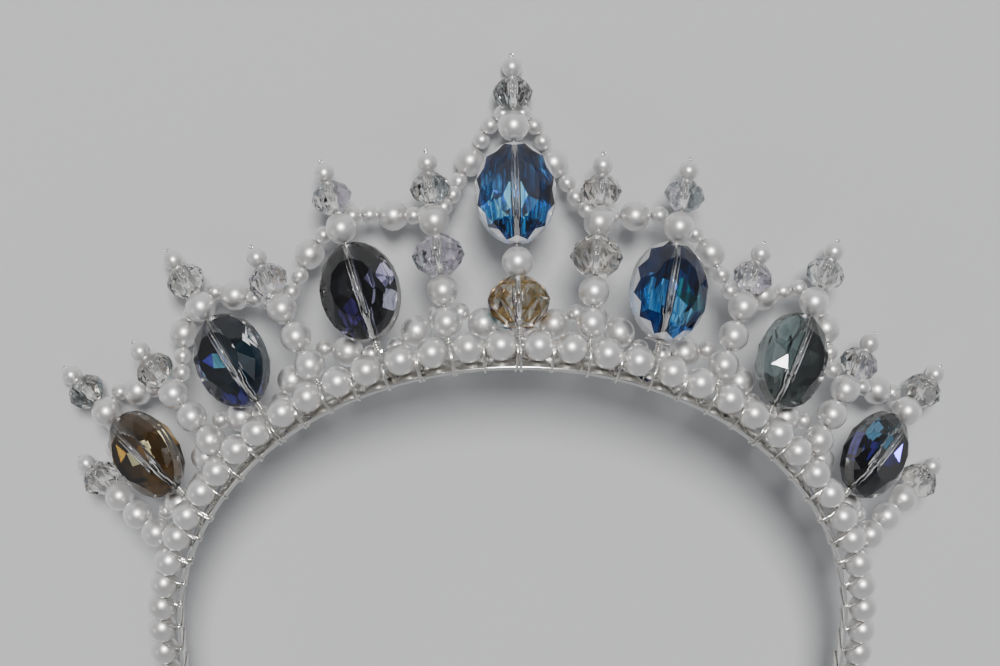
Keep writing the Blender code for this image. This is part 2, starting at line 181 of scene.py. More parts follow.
# Strings: the beads that hang from each spike to the next one out
SHORT_SPAN = ("small", "pearl", "small")
PLAIN_SPAN = ("small", "pearl", "small", "small")
TURNED_SPAN = ("small", "small", "pearl", "small")
LONG_SPAN = ("small", "small", "pearl", "small", "small")
FIRST_SPAN = ("small", "small", "small", "pearl", "small", "small", "small")

# Beads of each span from the middle out, how much of its bare thread comes before them, and
# how many degrees its bow turns from straight behind the spikes to away from the row
UPPER_SPANS = {
    "left": (
        (FIRST_SPAN, 0.5, 20.0),
        (LONG_SPAN, 1.0, 15.0),
        (LONG_SPAN, 0.5, 45.0),
        (TURNED_SPAN, 0.75, 0.0),
        (LONG_SPAN, 1.0, 60.0),
        (TURNED_SPAN, 0.5, 0.0),
        (TURNED_SPAN, 0.0, 0.0),
    ),
    "right": (
        (FIRST_SPAN, 0.5, 15.0),
        (SHORT_SPAN, 0.5, 0.0),
        (LONG_SPAN, 1.0, 60.0),
        (PLAIN_SPAN, 1.0, 0.0),
        (LONG_SPAN, 1.0, 60.0),
        (TURNED_SPAN, 0.75, 0.0),
        (TURNED_SPAN, 0.25, 0.0),
    ),
}
LOWER_SPANS = ((SHORT_SPAN, 0.5, 0.0),) * 3 + ((SHORT_SPAN, 0.9, 0.0),) * 4

# How far behind the spikes each string passes; the upper string's height from a spike's joint,
# and the lower one's from the row, over a spike's lowest pearl or under its lowest crystal
UPPER_BACK = 3.9
UPPER_AT_CENTRE = 0.7
UPPER_AT_SPIKES = -0.3
LOWER_BACK = 4.3
LOWER_HEIGHTS = {"centre": 2.4, "oval": 3.4, "waisted": 9.0, "plain": 9.0}
BEAD_SPACING = 0.15
BOW_STEP = 0.1
ROUTE_STEPS = 30

# Rings of corners that a stone is cut between: corners, turn in steps, share of the half width
# and length, and share of the half depth; the first ring faces the viewer or the tip
OVAL_RINGS = (
    (12, 0.5, 0.58, 1.0),
    (12, 0.0, 0.88, 0.6),
    (24, 0.0, 0.975, 0.34),
    (24, 0.0, 1.0, 0.1),
    (24, 0.0, 1.0, -0.1),
    (12, 0.0, 0.84, -0.62),
    (12, 0.5, 0.6, -0.84),
    (6, 0.5, 0.3, -1.0),
)
RONDELLE_RINGS = (
    (10, 0.0, 0.46, 1.0),
    (10, 0.5, 0.83, 0.56),
    (10, 0.0, 1.0, 0.04),
    (10, 0.0, 1.0, -0.04),
    (10, 0.5, 0.83, -0.56),
    (10, 0.0, 0.46, -1.0),
)

# Corners of the drill, and how far it reaches as a share of a stone's length
DRILL_CORNERS = 16
DRILL_REACH = 1.4

# Shares of an oval's half width and length: a tooth of the rim has one corner inside the first,
# and a facet of the rim has all its corners outside the second
TOOTH_SHARE = 0.9
RIM_SHARE = 0.95

# Facets with a coat: those of an oval whose normal has less than this to the front, those of the
# large round stone and of the others whose normal has more than this to the back, this share of
# the others' facets, and none of a round stone's two ends
OVAL_FACING = -0.2
LARGE_FACING = -0.2
ROUND_FACING = 0.15
COATED_SHARE = 0.5
END_FACING = 0.99

# Material slot of each oval, whether its rim facets show as bright teeth, and how clear they are;
# the rim facets are glass made partly white, a painted glint
OVALS = {
    "centre": ("blue_crystal", True, 0.6),
    "left_2": ("lilac_crystal", False, 0.85),
    "right_2": ("blue_crystal", True, 0.7),
    "left_4": ("lilac_crystal", False, 0.95),
    "right_4": ("green_crystal", False, 0.95),
    "left_6": ("amber_crystal", False, 0.95),
    "right_6": ("violet_crystal", False, 0.95),
}

# Coat on the back of each oval: how much of its darkest tone is mirror, how much of the rest
# is clear, how far its streaks spread along its colours, the tone of most facets, and the colours
OVAL_COATS = {
    "centre": (1.0, 0.1, 0.9, 0.54, (
        (0.34, 0.90, 1.0), (0.014, 0.32, 0.78), (0.004, 0.040, 0.19), (0.003, 0.008, 0.03),
        (0.08, 0.05, 0.08),
    )),
    "left_2": (0.98, 0.6, 0.3, 0.6, (
        (0.40, 0.40, 0.54), (0.16, 0.14, 0.30), (0.012, 0.012, 0.015), (0.02, 0.02, 0.02),
        (0.06, 0.03, 0.26),
    )),
    "left_4": (1.0, 0.2, 0.25, 0.55, (
        (0.18, 0.72, 0.96), (0.03, 0.028, 0.24), (0.004, 0.006, 0.016), (0.005, 0.034, 0.055),
        (0.74, 0.76, 0.82),
    )),
    "left_6": (1.0, 0.2, 0.25, 0.6, (
        (1.0, 0.93, 0.52), (0.60, 0.33, 0.03), (0.045, 0.022, 0.004), (0.12, 0.06, 0.006),
        (0.36, 0.42, 0.52),
    )),
    "right_2": (1.0, 0.1, 0.7, 0.58, (
        (0.18, 0.66, 0.95), (0.012, 0.20, 0.60), (0.004, 0.028, 0.14), (0.003, 0.009, 0.03),
        (0.012, 0.30, 0.36),
    )),
    "right_4": (0.97, 0.7, 0.3, 0.52, (
        (0.44, 0.66, 0.66), (0.18, 0.26, 0.25), (0.02, 0.03, 0.028), (0.05, 0.07, 0.065),
        (0.80, 0.80, 0.50),
    )),
    "right_6": (1.0, 0.6, 0.25, 0.56, (
        (0.04, 0.36, 0.62), (0.015, 0.03, 0.06), (0.006, 0.006, 0.008), (0.01, 0.01, 0.014),
        (0.05, 0.04, 0.36),
    )),
}

# Back facets of another tone, in part the coat's own colour and in part a painted reflection,
# bright or dark
# where a facet flashes or goes dark: their angle from the stone's right and their share of the way
# out from its middle, how far round that place they reach, and their tone
TONE_AND_GLINT_PATCHES = {
    "centre": (
        (0.0, 0.0, 0.1, 0.1), (210.0, 0.41, 0.1, 0.22), (150.0, 0.41, 0.1, 0.38),
        (330.0, 0.41, 0.1, 0.36), (30.0, 0.41, 0.1, 0.6), (270.0, 0.41, 0.1, 0.4),
        (0.0, 0.72, 0.3, 0.85), (90.0, 0.8, 0.35, 0.62), (215.0, 0.72, 0.2, 0.36),
        (325.0, 0.72, 0.2, 0.36),
    ),
    "left_2": (
        (30.0, 0.41, 0.1, 0.2), (330.0, 0.41, 0.1, 0.04), (55.0, 0.72, 0.15, 0.1),
        (10.0, 0.72, 0.15, 0.25), (210.0, 0.41, 0.1, 0.86), (230.0, 0.72, 0.15, 0.9),
    ),
    "left_4": (
        (0.0, 0.0, 0.1, 0.72), (150.0, 0.41, 0.1, 0.02), (30.0, 0.41, 0.1, 0.98),
        (155.0, 0.72, 0.2, 0.28), (225.0, 0.75, 0.25, 0.32), (330.0, 0.41, 0.1, 0.74),
    ),
    "left_6": (
        (150.0, 0.41, 0.1, 0.02), (130.0, 0.72, 0.12, 0.25), (30.0, 0.41, 0.1, 0.96),
        (350.0, 0.93, 0.35, 0.27),
    ),
    "right_2": (
        (0.0, 0.0, 0.1, 0.24), (330.0, 0.41, 0.1, 0.14), (30.0, 0.41, 0.1, 0.84),
        (0.0, 0.6, 0.2, 0.9), (305.0, 0.72, 0.2, 0.3), (210.0, 0.41, 0.1, 0.4),
    ),
    "right_4": ((0.0, 0.0, 0.1, 0.3), (105.0, 0.6, 0.25, 0.22), (30.0, 0.41, 0.1, 0.4)),
    "right_6": ((90.0, 0.41, 0.1, 0.04), (30.0, 0.41, 0.1, 0.97), (40.0, 0.72, 0.15, 0.92)),
}

# Coats of the round crystals: how much of each kind's darkest tone is mirror, how much of the
# rest is clear, and the colours
GOLD_COAT = (
    (0.50, 0.49, 0.44), (0.58, 0.34, 0.07), (0.10, 0.05, 0.015), (0.12, 0.32, 0.34),
    (0.28, 0.18, 0.34),
)
GREY_COAT = (
    (0.90, 0.90, 0.90), (0.52, 0.47, 0.40), (0.05, 0.05, 0.055), (0.34, 0.42, 0.46),
    (0.46, 0.40, 0.54),
)
ROUND_COATS = {
    "large": (0.9, 0.6, GOLD_COAT),
    "medium": (0.4, 0.8, GREY_COAT),
    "small": (0.4, 0.8, GREY_COAT),
}
ROUND_SPREAD = 0.3

# Glass of the clear stones, of a drilled wall and of the rim facets; the rim facets' glass lets
# only part of the light through and is white otherwise, a painted glint
CLEAR_GLASS = {
    "Roughness": 0.01,
    "IOR": 1.56,
    "Specular IOR Level": 0.3,
    "Transmission Weight": 1.0,
}
DRILLED_GLASS = {"Metallic": 0.3, "Roughness": 0.06, "IOR": 1.5, "Transmission Weight": 1.0}
PAINTED_GLINT_GLASS = {"Roughness": 0.03, "IOR": 1.56}

# How much less of the lightest tone of a coat is mirror than of the darkest, so that light tones
# show their colour under any light as a painted glow, and how many times a metre its streaks change
# across the stone, into it and along it
PAINTED_GLOW_SHARE = 0.65
STREAK_STEPS = (1300.0, 300.0, 80.0)

# The studio's brightness, from its sides to behind the camera's place
STUDIO_TONES = (
    (0.0, (0.46, 0.47, 0.49)),
    (0.5, (0.46, 0.47, 0.49)),
    (0.8, (0.16, 0.165, 0.175)),
    (1.0, (0.07, 0.073, 0.08)),
)

# The way the key light shines in the camera's view, then the other lights: name, place in that
# view, size, power and colour
KEY_AIM = Vector((-0.02, -0.09, -0.45))
KEY_ANGLE = math.radians(14.0)
KEY_POWER = 4.8
PLAIN_LIGHT = (1.0, 0.99, 0.97)
CARDS = (
    ("near card", (0.0, 0.03, 0.02), 0.24, 0.15, PLAIN_LIGHT),
    ("high card", (0.03, 0.22, -0.02), 0.16, 0.08, (0.93, 0.96, 1.0)),
    ("lamp", (-0.42, -0.16, -0.33), 0.14, 0.08, (1.0, 0.94, 0.86)),
)
CARD_TARGET = Vector((0.0, 0.04, 0.02))

# The camera's turn and place in the headband's flat frame, found from the photograph's view
CAMERA_TILT = math.radians(37.74)
CAMERA_YAW = 0.019
CAMERA_ROLL = -0.004
CAMERA_SHIFT = (3.748, -2.2, -469.2)
CAMERA_LENS = 90.0
CAMERA_SENSOR = 36.0
FLOOR_DROP = 0.2


def length_setting(name, description, default):
    """A size that a user may change, in metres, from its usual value in millimetres."""
    size = default * MM
    return FloatProperty(name=name, description=description, default=size, min=0.0, unit="LENGTH")


def colour_setting(name, description, default):
    """A colour that a user may change."""
    limits = {"min": 0.0, "max": 1.0, "size": 3, "subtype": "COLOR"}
    return FloatVectorProperty(name=name, description=description, default=default, **limits)


class BandSettings(PropertyGroup):
    """Sizes and colour of the metal band."""

    width: length_setting("Width", "Width of the metal strip", 5.0)
    thickness: length_setting("Thickness", "Thickness of the metal strip", 0.8)
    rounding: length_setting("Rounding", "Rounding of the strip's edges", 0.18)
    colour: colour_setting("Colour", "Colour of the polished metal", (0.78, 0.77, 0.74))


class PearlSettings(PropertyGroup):
    """Shape and colours of the pearls."""

    corners: IntProperty(
        name="Corners", description="Corners round each pearl", default=16, min=8, max=32
    )
    hole: length_setting("Hole", "Radius of the drilled hole", 0.42)
    dark: colour_setting("Shade", "Darkest tone of the pearl coat", (0.52, 0.505, 0.49))
    light: colour_setting("Light", "Lightest tone of the pearl coat", (0.66, 0.65, 0.65))
    # Colour of the painted sheen: the base colour turns towards it at the pearl's edge
    rim: colour_setting("Rim", "Sheen at the pearl's edge", (1.0, 0.99, 0.98))


class WireSettings(PropertyGroup):
    """Thickness and colour of the wires."""

    spike: length_setting("Spike wire", "Radius of the wire in each spike", 0.25)
    string: length_setting("String wire", "Radius of the wire through the strings", 0.16)
    binding: length_setting("Binding wire", "Radius of the wire that binds the row", 0.19)
    colour: colour_setting("Colour", "Colour of the silver wire", (0.88, 0.86, 0.82))


class StoneSettings(PropertyGroup):
    """Holes and colours of the cut crystals."""

    oval_hole: length_setting("Oval hole", "Radius of the hole along an oval", 0.95)
    rondelle_hole: length_setting("Rondelle hole", "Radius of a rondelle's hole", 0.62)
    clear: colour_setting("Clear", "Tint of uncoated crystal", (0.97, 0.98, 0.99))


class StageSettings(PropertyGroup):
    """Size and colour of the floor."""

    floor_size: length_setting("Floor", "Side of the floor", 4000.0)
    floor_colour: colour_setting("Floor colour", "Colour of the floor", (0.46, 0.465, 0.475))


class HeadbandSettings(PropertyGroup):
    """All the headband's settings."""

    band: PointerProperty(type=BandSettings)
    pearls: PointerProperty(type=PearlSettings)
    wires: PointerProperty(type=WireSettings)
    stones: PointerProperty(type=StoneSettings)
    stage: PointerProperty(type=StageSettings)


# The layout of the row, the spikes and the strings


def arc_step(heading, length, radius):
    """How far across and down a length of an arc leads, and the heading after it."""
    turned = heading + length / radius
    across = radius * (math.sin(turned) - math.sin(heading))
    down = radius * (math.cos(heading) - math.cos(turned))
    return across, down, turned


def arch_at(distance):
    """Place, run and outward direction of the row at a distance from the middle.

    Distances are positive to the right and negative to the left.
    """
    side = -1.0 if distance < 0.0 else 1.0
    left = abs(distance)
    heading = 0.0
    across = 0.0
    height = 0.0
    for length, radius in ARCH:
        step = min(left, length)
        further, lower, heading = arc_step(heading, step, radius)
        across += further
        height -= lower
        left -= step
    place = Vector((side * across, height, 0.0))
    run = Vector((math.cos(heading), -side * math.sin(heading), 0.0))
    outward = Vector((side * math.sin(heading), math.cos(heading), 0.0))
    return place, run, outward


def row_distances():
    """Distance from the middle of each pearl in half a row."""
    distances = [MIDDLE_PITCH / 2.0]
    for number in range(1, PEARLS_PER_SIDE):
        if number > 2 * SPIKES_PER_SIDE:
            pitch = SIDE_PITCH
        elif number % 2:
            pitch = PAIR_PITCH
        else:
            pitch = SPIKE_PITCH
        distances.append(distances[-1] + pitch)
    return distances


def seat_distance(number):
    """Distance from the middle of the gap that a spike's wire comes out of."""
    if number == 0:
        return 0.0
    distances = row_distances()
    return (distances[2 * number - 1] + distances[2 * number]) / 2.0


class Spike:
    """A spike's seat, directions and the heights of what it carries."""

    def __init__(self, label, number, side, stack, start, splay, lean):
        self.label = label
        self.stack = stack
        self.seat, run, _outward = arch_at(side * seat_distance(number))
        turn = math.radians(splay) * side
        drop = math.radians(lean)
        self.axis = Vector((
            math.sin(turn) * math.cos(drop),
            math.cos(turn) * math.cos(drop),
            -math.sin(drop),
        ))
        self.across = (run - self.axis * run.dot(self.axis)).normalized()
        self.back = self.axis.cross(self.across)
        self.beads = []
        height = start
        for kind in STACKS[stack]:
            height = self.stack_bead(kind, height) + CLEARANCE
        self.joint = height - CLEARANCE + JOINT_GAP / 2.0
        height = self.stack_bead("small", height - CLEARANCE + JOINT_GAP) + CLEARANCE
        self.tip = height + TIP_PEARL / 2.0
        self.beads.append(("tip", self.tip, TIP_PEARL))
        self.top = height + TIP_PEARL

    def stack_bead(self, kind, height):
        """Add a bead whose underside is at a height, and give the height of its top."""
        if kind == "pearl":
            size = ROW_PEARL
        elif kind == "oval":
            size = OVAL[0]
        else:
            size = RONDELLES[kind][1]
        self.beads.append((kind, height + size / 2.0, size))
        return height + size

    def height_of(self, wanted):
        """Height of the middle of the first bead of a kind."""
        return next(height for kind, height, _size in self.beads if kind == wanted)

    def point(self, height, back=0.0, across=0.0):
        """A place at a height along the spike, behind it and to its right."""
        return self.seat + self.axis * height + self.back * back + self.across * across

    def frame(self, height):
        """A matrix in metres whose X runs across the spike, Y behind it and Z along it."""
        turn = Matrix((self.across, self.back, self.axis)).transposed().to_4x4()
        return Matrix.Translation(self.point(height) * MM) @ turn


def make_spikes():
    """All spikes by label, from the table."""
    spikes = {}
    for number, stack, left, right in SPIKES:
        if right is None:
            spikes["centre"] = Spike("centre", number, 1, stack, *left)
            continue
        for (name, side), place in zip(SIDES, (left, right)):
            label = f"{name}_{number}"
            spikes[label] = Spike(label, number, side, stack, *place)
    return spikes


def smooth_stretch(start, start_run, end, end_run):
    """Evenly read places of a smooth stretch with a given direction at each end."""
    reach = (end - start).length / 3.0
    first = start + start_run * reach
    last = end - end_run * reach
    places = []
    for step in range(ROUTE_STEPS + 1):
        t = step / ROUTE_STEPS
        back = 1.0 - t
        places.append(
            start * back ** 3
            + first * 3.0 * back ** 2 * t
            + last * 3.0 * back * t ** 2
            + end * t ** 3
        )
    return places


def step_lengths(places):
    """Length of each step of a stretch."""
    return [(after - before).length for before, after in zip(places, places[1:])]


def place_along(places, wanted):
    """The place at a distance along a stretch."""
    for before, after, step in zip(places, places[1:], step_lengths(places)):
        if wanted <= step:
            return before.lerp(after, wanted / step)
        wanted -= step
    return places[-1]


def hang_string(row, spans, anchors, side):
    """Beads strung tight from spike to spike, bowed out between two as far as they need.

    Gives each span's beads as centres and sizes, and the stretch that they follow.
    """
    sizes = {"small": SMALL_PEARL, "pearl": ROW_PEARL}
    runs = []
    for index, spike in enumerate(row):
        run = spike.across * side
        if 0 < index < len(row) - 1:
            run = run + (anchors[index + 1] - anchors[index - 1]).normalized()
        runs.append(run.normalized())
    hung = []
    for index, (beads, before, lift) in enumerate(spans):
        needed = sum(sizes[kind] + BEAD_SPACING for kind in beads) + BEAD_SPACING
        start = anchors[index]
        end = anchors[index + 1]
        chord = (end - start).normalized()
        back = (row[index].back + row[index + 1].back).normalized()
        outward = chord.cross(back) * side
        turn = math.radians(lift)
        bow_run = back * math.cos(turn) + outward * math.sin(turn)
        bow = 0.0
        length = 0.0
        while length < needed:
            middle = (start + end) / 2.0 + bow_run * bow
            stretch = smooth_stretch(start, runs[index], middle, chord)
            stretch += smooth_stretch(middle, chord, end, runs[index + 1])[1:]
            length = sum(step_lengths(stretch))
            bow += BOW_STEP
        reached = (length - needed) * before + BEAD_SPACING
        places = []
        for kind in beads:
            size = sizes[kind]
            places.append((place_along(stretch, reached + size / 2.0), size))
            reached += size + BEAD_SPACING
        hung.append((places, stretch))
    return hung


def string_spans(level, side_name, side):
    """The spans of one side's upper or lower string.

    The upper one passes behind the spikes under their tip crystals, the lower one over the row.
    """
    labels = [f"{side_name}_{number}" for number in range(1, SPIKES_PER_SIDE + 1)]
    row = [ALL_SPIKES[label] for label in ["centre"] + labels]
    if level == "lower":
        anchors = [spike.point(LOWER_HEIGHTS[spike.stack], LOWER_BACK) for spike in row]
        return hang_string(row, LOWER_SPANS, anchors, side)
    anchors = []
    for spike in row:
        rise = UPPER_AT_CENTRE if spike.stack == "centre" else UPPER_AT_SPIKES
        anchors.append(spike.point(spike.joint + rise, UPPER_BACK))
    return hang_string(row, UPPER_SPANS[side_name], anchors, side)


def rest_frame():
    """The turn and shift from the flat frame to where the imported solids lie."""
    centre = ALL_SPIKES["centre"]
    left = ALL_SPIKES[f"left_{RESTING_SPIKE}"]
    right = ALL_SPIKES[f"right_{RESTING_SPIKE}"]
    tip = centre.point(centre.tip)
    normal = (left.point(left.tip) - tip).cross(right.point(right.tip) - tip).normalized()
    turn = normal.rotation_difference(Vector((0.0, 0.0, 1.0))).to_matrix().to_4x4()
    low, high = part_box("tip_crystal_centre")
    shift = (low + high) / 2.0 - turn @ (centre.point(centre.height_of("small")) * MM)
    return Matrix.Translation(shift) @ turn


ALL_SPIKES = make_spikes()
REST = rest_frame()


# Shared ways of making pieces


def select_only(*pieces):
    """Select these pieces and nothing else."""
    bpy.ops.object.select_all(action="DESELECT")
    for piece in pieces:
        piece.select_set(True)
    bpy.context.view_layer.objects.active = pieces[0]


def select_parts(mesh, kind, wanted):
    """Select the wanted corners, edges or faces of the active mesh, and edit it."""
    bpy.ops.object.mode_set(mode="EDIT")
    bpy.ops.mesh.select_mode(type=kind)
    bpy.ops.mesh.select_all(action="DESELECT")
    bpy.ops.object.mode_set(mode="OBJECT")
    parts = {"VERT": mesh.vertices, "EDGE": mesh.edges, "FACE": mesh.polygons}
    for part in parts[kind]:
        part.select = wanted(part)
    bpy.ops.object.mode_set(mode="EDIT")


def apply_modifiers(piece):
    """Make a piece's modifiers part of its mesh."""
    select_only(piece)
    for modifier in list(piece.modifiers):
        bpy.ops.object.modifier_apply(modifier=modifier.name)


def copy_at(model, place):
    """A copy of a model with its own mesh, at a place in the flat frame."""
    twin = model.copy()
    twin.data = model.data.copy()
    bpy.context.scene.collection.objects.link(twin)
    twin.matrix_world = place
    return twin


def remove_models(*models):
    """Take the models away once their copies are made."""
    for model in models:
        bpy.data.objects.remove(model, do_unlink=True)


def settle(name, pieces, finish, replaced=()):
    """Join pieces into one, set it where the solids lie and hang it on the headband.

    The finish is a material's name, or None for pieces that bring their own.
    """
    select_only(*pieces)
    if len(pieces) > 1:
        bpy.ops.object.join()
    piece = bpy.context.view_layer.objects.active
    piece.matrix_world = REST @ piece.matrix_world
    bpy.ops.object.transform_apply(location=True, rotation=True, scale=True)
    piece.name = name
    piece.data.name = name
    if finish:
        piece.data.materials.clear()
        piece.data.materials.append(bpy.data.materials[finish])
    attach(piece, ROOT)
    if replaced:
        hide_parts(*replaced)


def draw_wire(places, radius, rounding=2, closed=False):
    """A round wire through places given in millimetres, as a mesh."""
    curve = bpy.data.curves.new("wire", "CURVE")
    curve.dimensions = "3D"
    curve.bevel_depth = radius
    curve.bevel_resolution = rounding
    curve.use_fill_caps = not closed
    spline = curve.splines.new("POLY")
    spline.points.add(len(places) - 1)
    for target, place in zip(spline.points, places):
        target.co = (*(place * MM), 1.0)
    spline.use_cyclic_u = closed
    wire = bpy.data.objects.new("wire", curve)
    bpy.context.scene.collection.objects.link(wire)
    select_only(wire)
    bpy.ops.object.convert(target="MESH")
    bpy.ops.object.shade_smooth()
    return wire


def model_pearl(size, settings):
    """A round pearl with a small drilled hole at each end."""
    radius = size / 2.0 * MM
    bpy.ops.object.select_all(action="DESELECT")
    bpy.ops.mesh.primitive_uv_sphere_add(
        segments=settings.corners,
        ring_count=settings.corners * 5 // 8,
        radius=radius,
        location=(0.0, 0.0, 0.0),
    )
    pearl = bpy.context.object
    pearl.name = "pearl_model"
    select_parts(pearl.data, "VERT", lambda corner: abs(corner.co.z) > radius * PEARL_END)
    bpy.ops.mesh.bevel(offset=settings.hole, affect="VERTICES", segments=1)
    bpy.ops.mesh.select_mode(type="FACE")
    bpy.ops.mesh.inset(thickness=settings.hole * HOLE_RIM, use_individual=True)
    bpy.ops.transform.resize(value=(1.0, 1.0, HOLE_FLOOR), center_override=(0.0, 0.0, 0.0))
    bpy.ops.object.mode_set(mode="OBJECT")
    bpy.ops.object.shade_smooth_by_angle(angle=PEARL_BEND)
    return pearl


def model_pearls(settings):
    """One pearl of each size, to be copied."""
    return {size: model_pearl(size, settings) for size in (ROW_PEARL, SMALL_PEARL, TIP_PEARL)}


def thread_pearls(models, places):
    """Copies of the pearls along a string, each turned to its thread."""
    beads = []
    for index, (centre, size) in enumerate(places):
        before, _size = places[max(index - 1, 0)]
        after, _size = places[min(index + 1, len(places) - 1)]
        turn = (after - before).normalized().to_track_quat("Z", "Y").to_matrix().to_4x4()
        beads.append(copy_at(models[size], Matrix.Translation(centre * MM) @ turn))
    return beads


def cut_stone(name, rings, half_width, half_length, half_depth):
    """A stone cut flat between rings of corners, facing Z."""
    bpy.ops.object.select_all(action="DESELECT")
    bpy.ops.object.add(type="MESH", location=(0.0, 0.0, 0.0))
    stone = bpy.context.object
    stone.name = name
    bpy.ops.object.mode_set(mode="EDIT")
    for corners, turn, share, depth in rings:
        bpy.ops.mesh.select_all(action="DESELECT")
        bpy.ops.mesh.primitive_circle_add(
            vertices=corners,
            radius=share,
            location=(0.0, 0.0, depth * half_depth * MM),
            rotation=(0.0, 0.0, math.tau * turn / corners),
        )
        bpy.ops.transform.resize(
            value=(half_width * MM, half_length * MM, 1.0),
            center_override=(0.0, 0.0, 0.0),
        )
    bpy.ops.mesh.select_all(action="SELECT")
    bpy.ops.mesh.convex_hull()
    bpy.ops.mesh.dissolve_limited(angle_limit=FACET_BEND)
    bpy.ops.mesh.normals_make_consistent(inside=False)
    bpy.ops.object.mode_set(mode="OBJECT")
    bpy.ops.object.shade_flat()
    return stone


def drill_stone(stone, radius, length, turn, wall):
    """Drill a stone through its middle, leaving its own finish on the hole's wall."""
    bpy.ops.object.select_all(action="DESELECT")
    bpy.ops.mesh.primitive_cylinder_add(
        vertices=DRILL_CORNERS,
        radius=radius,
        depth=length * DRILL_REACH * MM,
        location=(0.0, 0.0, 0.0),
        rotation=turn,
    )
    drill = bpy.context.object
    drill.data.materials.append(wall)
    bpy.ops.object.shade_smooth()
    hole = stone.modifiers.new("hole", "BOOLEAN")
    hole.operation = "DIFFERENCE"
    hole.object = drill
    hole.material_mode = "TRANSFER"
    apply_modifiers(stone)
    remove_models(drill)


def set_tones(stone, tones):
    """Give each facet its own tone of the coat."""
    layer = stone.data.attributes.new("coat_tone", "FLOAT", "FACE")
    for face, tone in zip(layer.data, tones):
        face.value = tone


# Finishes


def plug(tree, node, inputs):
    """Put a constant or another node's output on each of these inputs of a node."""
    for name, value in inputs.items():
        if isinstance(value, bpy.types.NodeSocket):
            tree.links.new(value, node.inputs[name])
        else:
            node.inputs[name].default_value = value


def add_node(tree, kind, inputs, **settings):
    """A node with its settings and inputs."""
    node = tree.nodes.new(kind)
    for name, value in settings.items():
        setattr(node, name, value)
    plug(tree, node, inputs)
    return node


def calculate(tree, operation, *values):
    """The result of a sum on constants and other nodes' outputs."""
    inputs = dict(enumerate(values))
    return add_node(tree, "ShaderNodeMath", inputs, operation=operation).outputs["Value"]


def noise_on(tree, place, scale, detail):
    """Noise on a place, with features of about 1/scale metres."""
    inputs = {"Vector": place, "Scale": scale, "Detail": detail}
    return add_node(tree, "ShaderNodeTexNoise", inputs).outputs["Fac"]


def object_place(tree, output="Object"):
    """The place of a point on its object, or its direction in the world."""
    return add_node(tree, "ShaderNodeTexCoord", {}).outputs[output]


def colour_ramp(tree, factor, stops):
    """Colours along a factor, from pairs of place and colour."""
    ramp = add_node(tree, "ShaderNodeValToRGB", {"Fac": factor})
    elements = ramp.color_ramp.elements
    while len(elements) < len(stops):
        elements.new(0.5)
    for element, (place, colour) in zip(elements, stops):
        element.position = place
        element.color = (*colour, 1.0)
    return ramp.outputs["Color"]


def mottled(tree, scale, dark, light, start=0.3):
    """Two tones in soft patches of about 1/scale metres."""
    factor = noise_on(tree, object_place(tree), scale, 3.0)
    return colour_ramp(tree, factor, ((start, dark), (1.0 - start, light)))


def bumpy(tree, scale, distance, strength):
    """Fine unevenness of a surface."""
    height = noise_on(tree, object_place(tree), scale, 3.0)
    inputs = {"Height": height, "Distance": distance, "Strength": strength}
    return add_node(tree, "ShaderNodeBump", inputs).outputs["Normal"]


def new_finish(name):
    """A material and its nodes."""
    material = bpy.data.materials.new(name)
    material.use_nodes = True
    return material, material.node_tree


def shade(material, inputs):
    """Set the inputs of a material's shader."""
    tree = material.node_tree
    plug(tree, tree.nodes["Principled BSDF"], inputs)
    return material


def pearl_finish(settings):
    """Pearl coat: a soft grey-white body, a painted sheen that lightens the base colour towards the
    edge where the surface turns from the view, and a clear gloss over both.
    """
    material, tree = new_finish("pearl_coat")
    # Painted sheen: where the surface turns from the view, the base colour is mixed towards the rim
    # colour
    edge = add_node(tree, "ShaderNodeLayerWeight", {"Blend": 0.35})
    tones = {
        "Factor": edge.outputs["Facing"],
        "A": mottled(tree, 150.0, settings.dark, settings.light),
        "B": (*settings.rim, 1.0),
    }
    return shade(material, {
        "Base Color": add_node(tree, "ShaderNodeMix", tones, data_type="RGBA").outputs["Result"],
        "Roughness": 0.38,
        "Metallic": 0.86,
        "IOR": 1.6,
        "Coat Weight": 0.8,
        "Coat Roughness": 0.1,
        "Normal": bumpy(tree, 900.0, 0.00003, 0.25),
    })


def metal_finish(name, colour, roughness, grain):
    """Polished silver with faint handling marks."""
    material, tree = new_finish(name)
    darker = tuple(channel * 0.86 for channel in colour)
    return shade(material, {
        "Base Color": mottled(tree, grain, darker, colour),
        "Metallic": 1.0,
        "Roughness": roughness,
        "Normal": bumpy(tree, grain * 3.0, 0.00002, 0.2),
    })


def glass_finish(name, glass, scale, dark, light, start=0.3):
    """Crystal with a faint uneven tint in patches of about 1/scale metres."""
    material, tree = new_finish(name)
    return shade(material, {"Base Color": mottled(tree, scale, dark, light, start), **glass})


def painted_glint_finish(name, clearness):
    """The bright edge facets of a stone, part clear and part white; the white is a painted glint.
    """
    glass = {**PAINTED_GLINT_GLASS, "Transmission Weight": clearness}
    return glass_finish(name, glass, 500.0, (0.90, 0.89, 0.87), (1.0, 1.0, 1.0))


